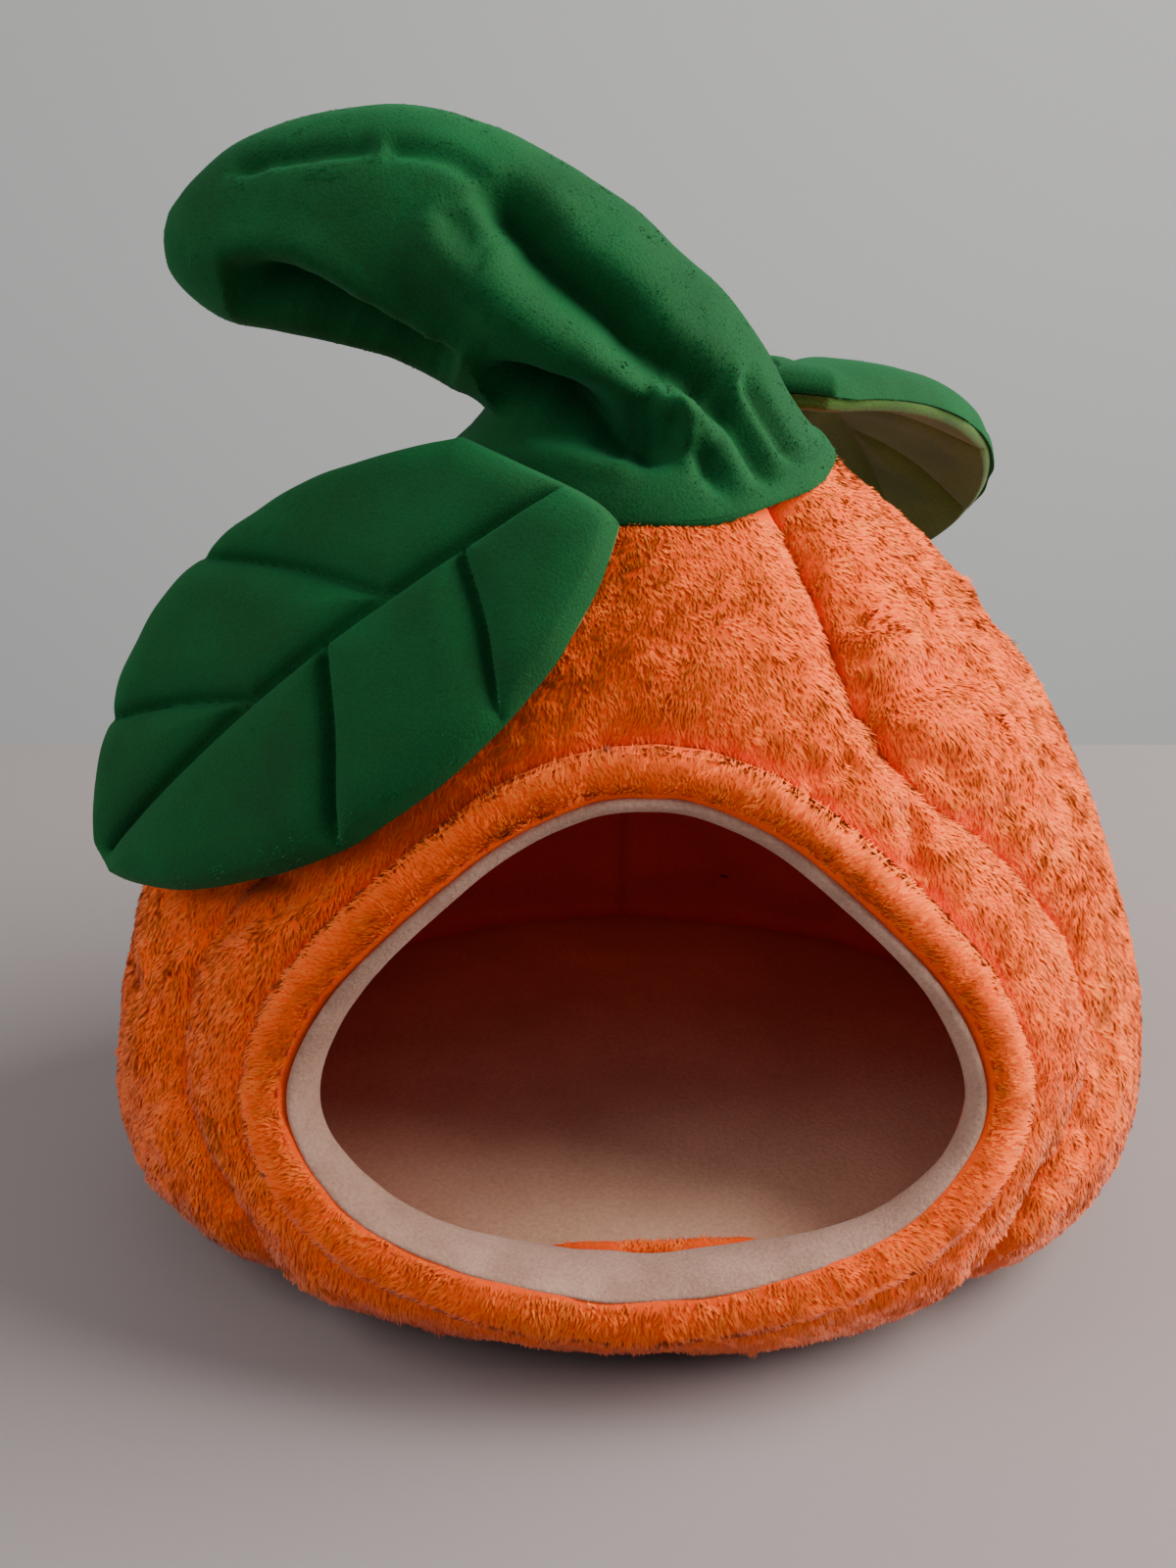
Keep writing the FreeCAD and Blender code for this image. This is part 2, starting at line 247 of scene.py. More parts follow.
def cloth(name, dark, light, grain=900.0, patch=60.0, bump=0.35, roughness=0.9, sheen=0.1, tint=(1, 1, 1)):
    # brushed cloth: fine fibres over soft patches of nap
    material = bpy.data.materials.new(name)
    material.use_nodes = True
    tree = material.node_tree
    shader = tree.nodes["Principled BSDF"]
    shader.inputs["Roughness"].default_value = roughness
    shader.inputs["Sheen Weight"].default_value = sheen
    shader.inputs["Sheen Roughness"].default_value = 0.5
    shader.inputs["Sheen Tint"].default_value = (*tint, 1)
    shader.inputs["Specular IOR Level"].default_value = 0.2
    place = node(tree, "ShaderNodeTexCoord")
    fibres = node(tree, "ShaderNodeTexNoise", Scale=grain, Detail=3.0, Roughness=0.6)
    patches = node(tree, "ShaderNodeTexNoise", Scale=patch, Detail=2.0, Roughness=0.5)
    mixed = node(tree, "ShaderNodeMath")
    mixed.operation = "MULTIPLY_ADD"
    mixed.inputs[1].default_value = 0.55
    ramp = node(tree, "ShaderNodeValToRGB")
    for stop, position, colour in zip(ramp.color_ramp.elements, (0.42, 0.78), (dark, light)):
        stop.position = position
        stop.color = (*colour, 1)
    half = node(tree, "ShaderNodeMath")
    half.operation = "MULTIPLY"
    half.inputs[1].default_value = 0.55
    relief = node(tree, "ShaderNodeBump", Strength=bump, Distance=0.0006)
    link = tree.links.new
    for texture in (fibres, patches):
        link(place.outputs["Object"], texture.inputs["Vector"])
    link(patches.outputs["Fac"], half.inputs[0])
    link(fibres.outputs["Fac"], mixed.inputs[0])
    link(half.outputs[0], mixed.inputs[2])
    link(mixed.outputs[0], ramp.inputs["Fac"])
    link(ramp.outputs["Color"], shader.inputs["Base Color"])
    link(fibres.outputs["Fac"], relief.inputs["Height"])
    link(relief.outputs["Normal"], shader.inputs["Normal"])
    return material


def shadesOf(name, sheen, **colours):
    # plain shades of pile: the pattern comes from thousands of tufts
    shades = []
    for shade, colour in colours.items():
        material = bpy.data.materials.new(name + shade)
        material.use_nodes = True
        shader = material.node_tree.nodes["Principled BSDF"]
        shader.inputs["Base Color"].default_value = (*colour, 1)
        shader.inputs["Roughness"].default_value = 0.9
        shader.inputs["Sheen Weight"].default_value = sheen
        shader.inputs["Specular IOR Level"].default_value = 0.08
        shades.append(material)
    return shades


def gripDots():
    # black cloth with a pattern of small rubber dots
    material = cloth("antislipCloth", (0.008, 0.008, 0.009), (0.02, 0.02, 0.022))
    tree = material.node_tree
    place = node(tree, "ShaderNodeTexCoord")
    dots = node(tree, "ShaderNodeTexVoronoi", Scale=170.0, Randomness=0.0)
    edge = node(tree, "ShaderNodeMath")
    edge.operation = "LESS_THAN"
    edge.inputs[1].default_value = 0.28
    shine = node(tree, "ShaderNodeMapRange")
    shine.inputs["To Min"].default_value = 0.85
    shine.inputs["To Max"].default_value = 0.35
    tree.links.new(place.outputs["Object"], dots.inputs["Vector"])
    tree.links.new(dots.outputs["Distance"], edge.inputs[0])
    tree.links.new(edge.outputs[0], shine.inputs["Value"])
    tree.links.new(shine.outputs["Result"], tree.nodes["Principled BSDF"].inputs["Roughness"])
    return material


orangeSkin = cloth("orangeSkin", (0.82, 0.070, 0.002), (0.97, 0.10, 0.004), grain=700, bump=0.6,
                   tint=(1, 0.45, 0.2))
orangeShades = shadesOf("orange", 0.12, Deep=(0.93, 0.105, 0.008), Main=(0.96, 0.128, 0.011),
                        Warm=(0.98, 0.152, 0.015), Light=(1.0, 0.185, 0.024))
greenSkin = cloth("greenSkin", (0.0003, 0.045, 0.008), (0.001, 0.085, 0.018), grain=1500, patch=45, bump=0.4,
                  roughness=0.85, tint=(0.1, 1.0, 0.4))
greenShades = shadesOf("green", 0.06, Deep=(0.0003, 0.058, 0.012), Main=(0.0006, 0.080, 0.018),
                       Light=(0.002, 0.115, 0.030))
oliveSkin = cloth("oliveSkin", (0.022, 0.075, 0.008), (0.055, 0.13, 0.018), grain=1300, patch=50, bump=0.3)
# the lining is a cream cloth; its deep red is painted orange glow through the plush and painted shade inside
liningPaintedGlow = cloth("liningPaintedGlow", (0.62, 0.035, 0.006), (0.75, 0.06, 0.012), grain=1200, patch=35, bump=0.3,
                    sheen=0.05)
weltCloth = cloth("weltCloth", (0.10, 0.006, 0.003), (0.20, 0.012, 0.005), grain=1500, patch=200, bump=0.4,
                  sheen=0)
cushionFleece = cloth("cushionFleece", (0.46, 0.25, 0.155), (0.63, 0.37, 0.25), patch=30, bump=0.45,
                      sheen=0.05)
bindingFleece = cloth("bindingFleece", (0.34, 0.19, 0.135), (0.52, 0.32, 0.235), grain=1100, patch=80,
                      bump=0.6)
foamGrain = cloth("foamGrain", (0.60, 0.57, 0.48), (0.75, 0.72, 0.63), grain=600, patch=200, bump=0.5,
                  sheen=0.3)
antislipCloth = gripDots()
threadRed = cloth("threadRed", (0.55, 0.035, 0.006), (0.70, 0.060, 0.012), grain=3000, patch=300, bump=0.3)
# paler green pile for the near leaf edges: painted sheen of the brushed edge
paintedSheenShades = shadesOf("worn", 0.08, Deep=(0.003, 0.105, 0.028), Main=(0.010, 0.155, 0.050),
                      Pale=(0.035, 0.230, 0.090))
print("materials ready")


# the body: half profile as (radius, height), flattened front to back, leaning a little at the crown
bodySet = {
    "profile": [(97, 0), (115, 8), (127, 22), (128, 45), (123, 70), (113, 98), (99, 126), (82, 150),
                (62, 172), (42, 189)],
    "depthRatio": 0.875,
    "shiftY": 4.0,
    "leanX": 0.02,
    "leanY": -0.04,
    "sideSeam": 114,            # azimuth in degrees, from the front
    "bell": [(72, -8), (90, 29), (104, 50), (106, 68), (101, 88), (90, 105), (77, 119), (63, 129), (52, 143),
             (43, 156), (38, 170), (29, 187), (24, 200)],
    "seamDepth": 6.5,
    "seamWidth": 17,
    "skin": 2.0,
    "heart": (0, 4, 90),        # a point well inside
    "rowEnds": (1.8, 188.9),    # lowest and highest row of the covers
    "press": 1.6,               # how gradually a cover flattens at the floor
}
mouthSet = {
    "outline": [(0, 34), (22, 36), (43, 40), (59, 46), (70, 57), (72, 68), (65, 84), (52, 100), (30, 120),
                (13, 129), (0, 131)],
    "centre": (0, 78),
    "stitchLine": 5.2,          # these grow outwards from the opening
    "rollMiddle": 9.6,
    "crease": 13.5,
}
bodyLine = smoothLine(bodySet["profile"], 400)
bodyWay = unit(np.gradient(bodyLine, axis=0))
bellLine = smoothLine(bodySet["bell"], 300)


def bodyRadius(height):
    return np.interp(height, bodyLine[:, 1], bodyLine[:, 0])


def leaned(x, y, z):
    # from a round upright form to the flattened, leaning body
    y = y * bodySet["depthRatio"] + bodySet["leanY"] * z + bodySet["shiftY"]
    return np.stack([x + bodySet["leanX"] * z, y, z + 0 * x], -1)


def bodyPoints(azimuth, height, lift=0.0):
    # azimuth in radians from the front towards +X; lift is along the outward normal
    outR = np.interp(height, bodyLine[:, 1], bodyWay[:, 1])
    outZ = np.interp(height, bodyLine[:, 1], -bodyWay[:, 0])
    radius = bodyRadius(height) + outR * lift
    return leaned(radius * np.sin(azimuth), -radius * np.cos(azimuth), height + outZ * lift)


def frontPoints(x, height, lift=0.0):
    return bodyPoints(np.arcsin(np.clip(x / bodyRadius(height), -0.995, 0.995)), height, lift)


def bellAzimuth(height):
    x = np.interp(height, bellLine[:, 1], bellLine[:, 0])
    return np.arcsin(np.clip(x / bodyRadius(height), 0, 0.99))


seamHeights = np.linspace(0, 189, 70)
bellTurn, sideTurn = bellAzimuth(seamHeights), math.radians(bodySet["sideSeam"])
seamTurns = {"frontRight": bellTurn, "frontLeft": -bellTurn, "sideRight": sideTurn, "sideLeft": -sideTurn,
             "back": math.pi}
seams = {name: bodyPoints(turn + 0 * seamHeights, seamHeights) for name, turn in seamTurns.items()}

# puckers and creases of the plush: (azimuth in degrees, height) along each, then its depth and width
creases = [
    ([(30, 147), (38, 149), (50, 150), (67, 147)], 3.2, 4.6),
    ([(31, 155), (40, 158), (54, 158)], -1.6, 5.0),
    ([(32, 141), (40, 138), (49, 129)], 2.4, 4.0),
    ([(36, 131), (36, 123), (34, 115)], 2.8, 3.4),
    ([(30, 140), (26, 137), (21, 137)], 1.6, 4.0),
    ([(45, 112), (52, 120), (62, 124)], 1.8, 4.5),
    ([(62, 72), (61, 52), (53, 38)], 2.4, 5.0),
    ([(-38, 114), (-47, 103), (-58, 90)], 3.0, 4.2),
    ([(-44, 110), (-55, 107), (-66, 97)], 2.6, 3.8),
    ([(-58, 92), (-66, 84), (-70, 72)], 2.2, 4.2),
    ([(-57, 70), (-70, 66), (-84, 68)], 1.6, 5.0),
    ([(112, 150), (100, 146), (86, 150)], 2.2, 4.5),
    ([(116, 96), (130, 92), (146, 98)], 2.4, 5.0),
    ([(178, 140), (164, 136), (150, 142)], 2.2, 4.5),
    ([(-178, 84), (-163, 80), (-146, 86)], 2.2, 5.0),
    ([(-116, 128), (-102, 124), (-88, 130)], 2.4, 4.8),
    ([(-112, 60), (-126, 56), (-140, 62)], 2.2, 5.0),
]
bodyFolds = []
for spots, depth, width in creases:
    spots = np.array(spots, float)
    bodyFolds.append((bodyPoints(np.radians(spots[:, 0]), spots[:, 1]), depth, width))


def plumpness(points, seamNames):
    # how far the cover stands off the plain shape: seams, puckers and lumps
    offset = latticeNoise(points, 46, 3) * 1.6 + latticeNoise(points, 17, 5) * 0.7
    for name in seamNames:
        gap, _ = distanceToLine(points, seams[name])
        shallow = np.clip(points[..., 2] / 14, 0.25, 1)         # the seams flatten out under the body
        offset += seamDip(gap, bodySet["seamDepth"], bodySet["seamWidth"]) * shallow
        offset -= np.abs(latticeNoise(points, 9, 8)) * 2.0 * np.exp(-(gap / 11) ** 2)
    return offset - foldDepth(points, bodyFolds)


def goreGrid(start, end, heights, columns, lift=0.0):
    # start and end are functions of height, in radians
    share = np.linspace(0, 1, columns)[None, :]
    azimuths = start(heights)[:, None] * (1 - share) + end(heights)[:, None] * share
    return bodyPoints(azimuths, heights[:, None] + 0 * azimuths, lift)


def fixedAzimuth(degrees):
    return lambda heights: np.full_like(heights, math.radians(degrees))


goreSet = {
    "right": (bellAzimuth, fixedAzimuth(bodySet["sideSeam"]), ["frontRight", "sideRight"]),
    "left": (fixedAzimuth(-bodySet["sideSeam"]), lambda h: -bellAzimuth(h), ["sideLeft", "frontLeft"]),
    "back_right": (fixedAzimuth(bodySet["sideSeam"]), fixedAzimuth(180), ["sideRight", "back"]),
    "back_left": (fixedAzimuth(-180), fixedAzimuth(-bodySet["sideSeam"]), ["back", "sideLeft"]),
}
goreRows = evenly(bodyLine, 110)[:, 1]
goreRows[0] = bodySet["rowEnds"][0]


def polarRadius(loop, centre, angles):
    dx, dz = loop[:, 0] - centre[0], loop[:, 1] - centre[1]
    bearing = np.arctan2(dz, dx)
    order = np.argsort(bearing)
    return np.interp(angles, bearing[order], np.hypot(dx, dz)[order], period=2 * math.pi)


def mirroredLoop(half):
    half = np.asarray(half, float)
    return np.concatenate([half, (half * [-1, 1])[::-1][1:-1]])


mouthLoop = smoothLine(mirroredLoop(mouthSet["outline"]), 600, closed=True)


def grownMouth(grow):
    way = unit(np.roll(mouthLoop, -1, 0) - np.roll(mouthLoop, 1, 0))
    return mouthLoop + np.stack([way[:, 1], -way[:, 0]], -1) * grow


def mouthAround(grow, count):
    # evenly spaced places around the grown mouth
    loop = grownMouth(grow)
    return evenly(np.concatenate([loop, loop[:1]]), count + 1)[:-1]


def frontField(innerGrow, columns, rows):
    # (x, z) places of the front gore between the mouth and its bell-shaped seam
    angles = np.linspace(-math.pi, math.pi, columns, endpoint=False)
    low, high = bodySet["rowEnds"]
    flank = bellLine[(bellLine[:, 1] > low) & (bellLine[:, 1] < high)]
    top = np.stack([np.linspace(flank[-1, 0], -flank[-1, 0], 40), np.full(40, high)], -1)
    bottom = np.stack([np.linspace(-flank[0, 0], flank[0, 0], 60), np.full(60, low)], -1)
    bell = np.concatenate([flank, top, (flank * [-1, 1])[::-1], bottom])
    near = polarRadius(grownMouth(innerGrow), mouthSet["centre"], angles)
    far = polarRadius(bell, mouthSet["centre"], angles)
    share = 0.5 - 0.5 * np.cos(np.linspace(0, math.pi, rows))
    share = (0.5 * share + 0.5 * np.linspace(0, 1, rows))[:, None]
    reach = near * (1 - share) + far * share
    return mouthSet["centre"][0] + reach * np.cos(angles), mouthSet["centre"][1] + reach * np.sin(angles)


# tufts in each square millimetre and most in a piece; their size, lean and direction
orangePile = {"slot": "orange_plush", "shades": orangeShades, "density": 2.15, "most": 49000,
              "length": 2.2, "width": 0.95, "stand": 0.27, "lay": 0.6, "ruffle": 0.34, "clump": 3.2,
              "flow": (0.1, 0, -1), "sink": 0.25, "patch": 13, "shading": 0.26}
greenPile = {"slot": "green_plush", "shades": greenShades, "density": 1.8, "most": 49000,
             "length": 1.1, "width": 0.6, "stand": 0.24, "lay": 0.8, "ruffle": 0.3, "clump": 2.0,
             "flow": (-0.7, 0, -0.6), "sink": 0.3, "patch": 16, "shading": 0.10}
pileJobs = []                   # (name, bodies, grid, wrap, options), grown at the end


def settle(grid):
    # cloth near the floor is pressed flat on it
    settled = grid.copy()
    settled[..., 2] = bodySet["press"] * np.log1p(np.exp(grid[..., 2] / bodySet["press"]))
    return settled


def goreCover(name, base, wrap, seamNames, extra=0.0):
    normals = gridNormals(base, wrap, bodySet["heart"])
    offset = plumpness(base, seamNames) + extra
    outer = base + normals * offset[..., None]
    inner = settle(outer - gridNormals(outer, wrap, bodySet["heart"]) * bodySet["skin"])
    outer = settle(outer)
    piece = shellMesh(name + "_gore", outer, inner, [orangeSkin], wrap)
    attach(piece, "cave")
    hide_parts(name + "_gore_cover", name + "_gore_wadding")
    pileJobs.append((name + "_gore_pile", ["cave"], outer, wrap, orangePile))


def buildGores():
    for name, (start, end, seamNames) in goreSet.items():
        goreCover(name, goreGrid(start, end, goreRows, 80), False, seamNames)
    x, z = frontField(mouthSet["crease"], 320, 44)
    base = frontPoints(x, z)
    edge = frontPoints(*grownMouth(mouthSet["crease"])[::10].T)
    gap, _ = distanceToLine(base, np.concatenate([edge, edge[:1]]))
    goreCover("front", base, True, ["frontRight", "frontLeft"], seamDip(gap, 5.0, 12))
    print("gore covers built")


buildGores()


# lining inside the walls
liningSet = {"depth": -16.8, "skin": 1.1, "wrinkle": 0.9, "flare": 11, "low": 4, "high": 187}
weltSet = {"radius": 1.3, "from": 70, "to": 290, "height": 38, "wave": 3.4, "ripple": 1.6}     # degrees, mm


def cordTube(name, line, radius, materials):
    way = unit(np.gradient(line, axis=0))
    side = unit(np.cross(way, straightUp))
    up = np.cross(side, way)
    turn = fullTurn(10)[None, :, None]
    ends = np.minimum(np.linspace(0, 40, len(line)), np.linspace(40, 0, len(line))).clip(0, 1)
    swell = (radius * (1 + 0.25 * latticeNoise(line, 5, 39)) * ends)[:, None, None]
    grid = line[:, None] + (np.cos(turn) * side[:, None] + np.sin(turn) * up[:, None]) * swell
    index = np.arange(len(line) * 10).reshape(len(line), 10)
    return meshObject(name, grid.reshape(-1, 3), gridFaces(index, True), materials, merge=True)


weltTurn = np.linspace(math.radians(weltSet["from"]), math.radians(weltSet["to"]), 260)
weltHeights = weltSet["height"] + weltSet["wave"] * np.sin(weltTurn * 9)
weltHeights += weltSet["ripple"] * np.sin(weltTurn * 23 + 1)
weltLine = bodyPoints(weltTurn, weltHeights, liningSet["depth"])


def liningPiece(name, base, wrap, nodeName):
    normals = gridNormals(base, wrap, bodySet["heart"])
    wave = latticeNoise(base, 22, 31) * liningSet["wrinkle"] + latticeNoise(base, 8, 33) * 0.35
    near = np.exp(-(distanceToLine(base, weltLine[::4])[0] / 7) ** 2)
    wave -= near * (1.0 + 1.2 * latticeNoise(base, 6, 35))
    outer = base + normals * np.minimum(wave, 0.8)[..., None]
    inner = outer - normals * liningSet["skin"]
    piece = shellMesh(name, outer, inner, [liningPaintedGlow], wrap)
    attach(piece, "cave")
    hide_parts(nodeName)


def buildLining():
    heights = np.linspace(liningSet["low"], liningSet["high"], 60)
    for name, (start, end, _) in goreSet.items():
        base = goreGrid(start, end, heights, 40, liningSet["depth"])
        liningPiece(name + "_lining", base, False, name + "_gore_lining")
    x, z = frontField(mouthSet["stitchLine"] + liningSet["flare"], 200, 26)
    sheet = frontPoints(x, np.clip(z, liningSet["low"], liningSet["high"]), liningSet["depth"])
    funnel = []
    for share in (0.0, 0.2, 0.4, 0.6, 0.8):         # from the lip of the mouth back to the wall's lining
        nearX, nearZ = frontField(mouthSet["stitchLine"] + 0.4 + share * liningSet["flare"], 200, 3)
        funnel.append(frontPoints(nearX[0], nearZ[0], -2 + share ** 1.3 * (liningSet["depth"] + 2)))
    liningPiece("front_lining", np.concatenate([funnel, sheet]), True, "front_gore_lining")
    low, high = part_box("crown_lining")
    around = fullTurn(72)
    middle = (low + high) / 2 / mm
    share = np.linspace(0, 1.35, 20)
    radius = share[:, None] * (high.x - low.x) / 2 / mm * (1 + 0 * around)
    gather = 0.6 * np.sin(around * 14)[None, :] * share[:, None]
    grid = np.stack([middle.x + radius * np.cos(around), middle.y + radius * np.sin(around) * 0.9,
                     middle.z - 1.5 * share[:, None] ** 2 + gather], -1)
    piece = shellMesh("crown_lining_disc", grid, grid - straightUp, [liningPaintedGlow], True, (0,))
    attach(piece, "cave")
    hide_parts("crown_lining")
    piece = cordTube("lining_welt", weltLine, weltSet["radius"], [weltCloth])
    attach(piece, "cave")
    print("lining built")


buildLining()


# padded roll around the mouth, its binding and the stitches between them
rollSet = {"halfWidth": 5.9, "halfHeight": 7.0, "lift": -2.8, "count": 300, "section": 22,
           "heart": (0, -60, 78)}       # its pile is combed away from this point
bindingSet = {"middle": 3.9, "halfWidth": 1.6, "front": -0.3, "section": 20,
              # depth of the tape by place: bottom, right, top, left
              "depths": [(-90, 17.0), (-55, 16.0), (-20, 6.5), (20, 4.5), (90, 4.5), (150, 5.5), (185, 9.0),
                         (215, 14.0), (240, 17.0), (270, 17.0)]}
stitchSet = {"pitch": 5.0, "length": 2.4, "radius": 0.36, "lift": 1.2}


def mouthTube(grow, section, halfWidth, halfHeight, lift, seed):
    # a tube of rounded section that follows the mouth over the curved wall
    place = mouthAround(grow, rollSet["count"])
    middle = frontPoints(*place.T)
    normal = unit(frontPoints(*place.T, 1.0) - middle)
    way = unit(np.roll(middle, -1, 0) - np.roll(middle, 1, 0))
    side = unit(np.cross(normal, way))
    turn = fullTurn(section)
    swell = 1 + 0.05 * latticeNoise(middle, 13, seed) + 0.03 * latticeNoise(middle, 5, seed + 1)
    middle = middle + normal * lift
    return (middle[None] + side[None] * (np.cos(turn)[:, None, None] * (halfWidth * swell)[None, :, None])
            + normal[None] * (np.sin(turn)[:, None, None] * (halfHeight * swell)[None, :, None]))


def closedTube(name, grid, materials):
    # section runs over the rows, the loop over the columns, both closed
    rows, columns = grid.shape[:2]
    index = np.arange(rows * columns).reshape(rows, columns)
    index = np.concatenate([index, index[:1]], 0)
    return meshObject(name, grid.reshape(-1, 3), gridFaces(index, True), materials)


def buildMouth():
    grid = mouthTube(mouthSet["rollMiddle"], rollSet["section"], rollSet["halfWidth"], rollSet["halfHeight"],
                     rollSet["lift"], 41)
    roll = closedTube("mouth_roll", grid, [orangeSkin])
    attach(roll, "cave")
    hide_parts("mouth_roll_cover", "mouth_roll_filler")
    nearest = np.argmin(np.linalg.norm(grid - grid.mean((0, 1)), axis=-1).mean(1))
    front = grid[2:11] if nearest < rollSet["section"] / 4 else grid[1:10]      # the half that shows
    pileJobs.append(("mouth_roll_pile", ["cave"], front, True, dict(orangePile, flow="out", inward=True)))
    place = mouthAround(bindingSet["middle"], rollSet["count"]) - mouthSet["centre"]
    bearing = np.degrees(np.arctan2(place[:, 1], place[:, 0]))
    depth = np.interp(bearing, *np.array(bindingSet["depths"]).T, period=360)
    grid = mouthTube(bindingSet["middle"], bindingSet["section"], bindingSet["halfWidth"], depth / 2,
                     (bindingSet["front"] - depth / 2)[:, None], 47)
    binding = closedTube("mouth_binding_edge", grid, [bindingFleece])
    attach(binding, "cave")
    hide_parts("mouth_binding")
    buildStitches()
    print("mouth built")


def buildStitches():
    place = mouthAround(mouthSet["stitchLine"], 400)
    line = frontPoints(*place.T, stitchSet["lift"])
    line = np.concatenate([line, line[:1]])
    count = int(np.linalg.norm(np.diff(line, axis=0), axis=1).sum() / stitchSet["pitch"])
    line = evenly(line, count * 10 + 1)
    turn = fullTurn(6)
    points, faces = [], []
    for k in range(count):
        start, end = line[k * 10], line[k * 10 + 6]
        way = unit(end - start)
        side = unit(np.cross(way, straightUp))
        up = np.cross(side, way)
        ring = (np.cos(turn)[:, None] * side + np.sin(turn)[:, None] * up) * stitchSet["radius"]
        # both ends of a stitch are thin and dip into the cloth
        for share, thick, sink in ((0, 0.15, 0.3), (0.15, 0.9, -0.05), (0.85, 0.9, -0.05), (1, 0.15, 0.3)):
            points.append(start + way * (share * stitchSet["length"]) + ring * thick + [0, sink, 0])
        first = k * 24
        index = first + np.arange(24).reshape(4, 6)
        faces.append(gridFaces(index, True))
        faces.append(first + np.array([[0, 1, 2, 3], [0, 3, 4, 5], [21, 20, 19, 18], [23, 22, 21, 18]]))
    piece = meshObject("mouth_stitches", np.concatenate(points), np.concatenate(faces), [threadRed])
    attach(piece, "cave")


buildMouth()


# floor: anti-slip cloth, foam, floor lining and the loose cushion
cushionSet = {"radius": 103.5, "crown": 2.2, "wave": 1.6, "rows": 26, "columns": 180}
# the orange underside comes up over the front edge as a short roll
frontEdgeSet = {"ends": (-20, 32), "reach": 102.4, "height": 28.3, "dip": 3.5, "radius": 2.1}


def discGrid(radius, heights, shares, columns, wave=0.0, seed=0):
    # rings of a round piece; heights go with the shares of the radius
    around = fullTurn(columns)
    ring = np.stack([np.cos(around), np.sin(around), 0 * around], -1)
    edge = 1 + latticeNoise(ring * 100, 21, seed) * wave / radius
    reach = shares[:, None] * radius * edge[None, :]
    return leaned(reach * np.cos(around), reach * np.sin(around), heights[:, None])


def cushionHalf(name, top, nodes, material):
    low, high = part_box("cushion_bottom_cover")[0].z / mm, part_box("cushion_top_cover")[1].z / mm
    middle, half = (low + high) / 2, (high - low) / 2
    turn = np.linspace(0, math.pi / 2, cushionSet["rows"])
    side = 1 if top else -1
    heights = middle + side * half * np.cos(turn) ** 0.55
    shares = np.sin(turn) ** 0.8
    grid = discGrid(cushionSet["radius"], heights, shares, cushionSet["columns"], cushionSet["wave"], 61)
    fall = (1 - shares ** 2)[:, None]
    if top:
        pinch = np.exp(-((1 - shares[:, None]) / 0.06) ** 2)
        rise = cushionSet["crown"] * fall + latticeNoise(grid, 34, 63) * 1.4 * fall
        grid[..., 2] += rise - np.abs(latticeNoise(grid, 9, 65)) * 1.6 * pinch
    inner = grid - side * straightUp * 0.9
    inner[-1] = grid[-1] * [0.99, 0.99, 1]
    piece = shellMesh(name, grid, inner, [material], True, (0,))
    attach(piece, "cushion")
    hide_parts(*nodes)
    return grid


def frontEdgeRoll():
    low, high = frontEdgeSet["ends"]
    x = np.linspace(low, high, 60)
    middle, half = (low + high) / 2, (high - low) / 2
    z = frontEdgeSet["height"] - frontEdgeSet["dip"] * ((x - middle) / half) ** 4
    reach = np.sqrt(frontEdgeSet["reach"] ** 2 - (x - bodySet["leanX"] * z) ** 2)
    y = -reach * bodySet["depthRatio"] + bodySet["leanY"] * z + bodySet["shiftY"]
    line = np.stack([x, y + latticeNoise(np.stack([x, 0 * x, 0 * x], -1), 9, 67) * 0.5, z], -1)
    piece = cordTube("cushion_front_edge", line, frontEdgeSet["radius"], [orangeSkin])
    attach(piece, "cushion")
    way = unit(np.gradient(line, axis=0))
    side = unit(np.cross(way, straightUp))
    turn = np.linspace(0, math.pi, 9)[:, None, None]
    grid = line[None] + (np.cos(turn) * side[None] + np.sin(turn) * straightUp) * frontEdgeSet["radius"]
    pileJobs.append(("cushion_front_edge_pile", ["cushion"], grid[:, 3:-3], False,
                     dict(orangePile, density=1.6, length=1.2, flow=(0.2, 1, 0), inward=False)))


def buildFloor():
    frontEdgeRoll()
    cushionHalf("cushion_top", True, ["cushion_top_cover", "cushion_filling"], cushionFleece)
    grid = cushionHalf("cushion_underside", False, ["cushion_bottom_cover"], orangeSkin)
    pileJobs.append(("cushion_edge_pile", ["cushion"], grid[-9:], True,
                     dict(orangePile, density=0.8, length=2.0)))
    low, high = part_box("base_lining")
    radius = (high.x - low.x) / 2 / mm + 3
    shares = np.linspace(0, 1, 30)
    heights = high.z / mm - 0.2 - 0.8 * shares ** 6
    grid = discGrid(radius, heights, shares, 120)
    grid[..., 2] += np.minimum(latticeNoise(grid, 18, 71) * 0.3, 0.1)
    piece = shellMesh("floor_lining", grid, grid - straightUp * 0.8, [liningPaintedGlow], True, (0,))
    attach(piece, "cave")
    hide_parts("base_lining")
    for nodeName, material in (("antislip_base", antislipCloth), ("base_pad", foamGrain)):
        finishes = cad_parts[nodeName].data.materials
        finishes.clear()
        finishes.append(material)
    print("floor built")


buildFloor()


